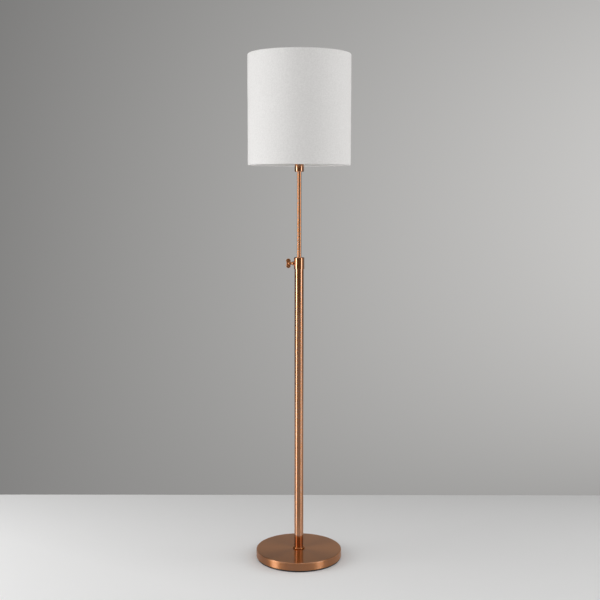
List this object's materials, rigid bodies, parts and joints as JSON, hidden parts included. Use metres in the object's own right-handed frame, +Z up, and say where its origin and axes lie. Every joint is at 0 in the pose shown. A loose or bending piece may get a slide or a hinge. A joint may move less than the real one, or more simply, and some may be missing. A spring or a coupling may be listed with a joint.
{
  "type": "floor lamp",
  "caption": "Telescopic floor lamp: round weighted base, column with winged clamp screw, sliding and turning mast, harp, screw-base bulb and straight drum shade.",
  "frame": {"origin": "centre of the base pad's underside, on the floor", "axes": "+Z up the column, -Y the front, -X the side the clamp screw points to"},
  "size_m": [0.303, 0.303, 1.5157],
  "materials": {
    "pad_rubber": "matt black foam rubber",
    "cast_weight": "raw grey casting",
    "copper_spun": "copper plated, brushed in circles, lacquered",
    "copper_tube": "copper plated, fine lengthwise brushing, lacquered",
    "copper_turned": "copper plated, turned, satin",
    "black_bush": "matt black nylon",
    "zinc_steel": "bright zinc plated",
    "spring_steel": "blackened spring steel",
    "nylon": "natural nylon",
    "nickel_steel": "nickel plated, satin",
    "socket_brass": "pressed brass, satin",
    "insulating_card": "brown insulating card",
    "phenolic": "moulded black insulator",
    "shell_aluminium": "bright rolled sheet",
    "bulb_white": "white moulded housing",
    "bulb_diffuser": "opal diffuser",
    "white_steel": "white powder coat",
    "styrene": "white laminating sheet",
    "linen": "off-white plain linen weave"
  },
  "bodies": {
    "stand": {"base_pad": "pad_rubber", "base_weight": "cast_weight", "base_cover": "copper_spun", "cord_bush": "black_bush", "base_nipple": "zinc_steel", "base_washer": "zinc_steel", "base_nut": "zinc_steel", "foot_ring": "copper_turned", "column_foot_plug": "zinc_steel", "column_tube": "copper_tube", "collar": "copper_turned", "collar_bush": "nylon"},
    "clamp_tip": {"clamp_tip": "nylon"},
    "thumb_screw": {"thumb_screw": "copper_turned"},
    "guide": {"guide_bush": "nylon"},
    "mast": {"retaining_rings": "spring_steel", "inner_tube": "copper_tube", "tube_insert": "zinc_steel", "mast_nipple": "zinc_steel", "socket_cup": "copper_turned", "cup_nut": "zinc_steel", "cup_lid": "copper_turned", "harp_saddle": "nickel_steel", "socket_cap": "socket_brass", "socket_shell": "socket_brass", "socket_liner": "insulating_card", "socket_core": "phenolic", "screw_shell": "shell_aluminium", "centre_contact": "socket_brass", "terminal_screws": "zinc_steel", "bulb_cap": "shell_aluminium", "bulb_housing": "bulb_white", "bulb_globe": "bulb_diffuser", "harp_wire": "nickel_steel"},
    "switch_key": {"switch_shaft": "zinc_steel", "switch_knob": "phenolic"},
    "sleeve_left": {"harp_sleeve_left": "nickel_steel"},
    "sleeve_right": {"harp_sleeve_right": "nickel_steel"},
    "shade": {"harp_stud": "nickel_steel", "spider_hub": "white_steel", "spider_arms": "white_steel", "shade_top_ring": "white_steel", "shade_bottom_ring": "white_steel", "shade_liner": "styrene", "shade_cover": "linen", "shade_top_trim": "linen", "shade_bottom_trim": "linen", "finial": "copper_turned"}
  },
  "joints": [
    {"name": "mast_slide", "type": "slide", "parent": "stand", "child": "guide", "axis": [0, 0, 1], "range_m": [-0.252, 0.075]},
    {"name": "mast_turn", "type": "hinge", "parent": "guide", "child": "mast", "pos_m": [0, 0, 0.775], "axis": [0, 0, 1], "range_deg": [-175, 175]},
    {"name": "clamp_feed", "type": "slide", "parent": "stand", "child": "clamp_tip", "axis": [-1, 0, 0], "range_m": [0, 0.0016]},
    {"name": "clamp_turn", "type": "hinge", "parent": "clamp_tip", "child": "thumb_screw", "pos_m": [-0.02, 0, 0.9056], "axis": [-1, 0, 0], "range_deg": [0, 720]},
    {"name": "switch_turn", "type": "hinge", "parent": "mast", "child": "switch_key", "pos_m": [0, -0.025, 1.2265], "axis": [0, -1, 0], "continuous": true},
    {"name": "sleeve_left_lift", "type": "slide", "parent": "mast", "child": "sleeve_left", "axis": [0, 0, 1], "range_m": [0, 0.014]},
    {"name": "sleeve_right_lift", "type": "slide", "parent": "mast", "child": "sleeve_right", "axis": [0, 0, 1], "range_m": [0, 0.014]},
    {"name": "shade_turn", "type": "hinge", "parent": "mast", "child": "shade", "pos_m": [0, 0, 1.4905], "axis": [0, 0, 1], "continuous": true}
  ],
  "couplings": [
    {"joint": "clamp_turn", "follows": "clamp_feed", "rad_per_m": 7854}
  ]
}
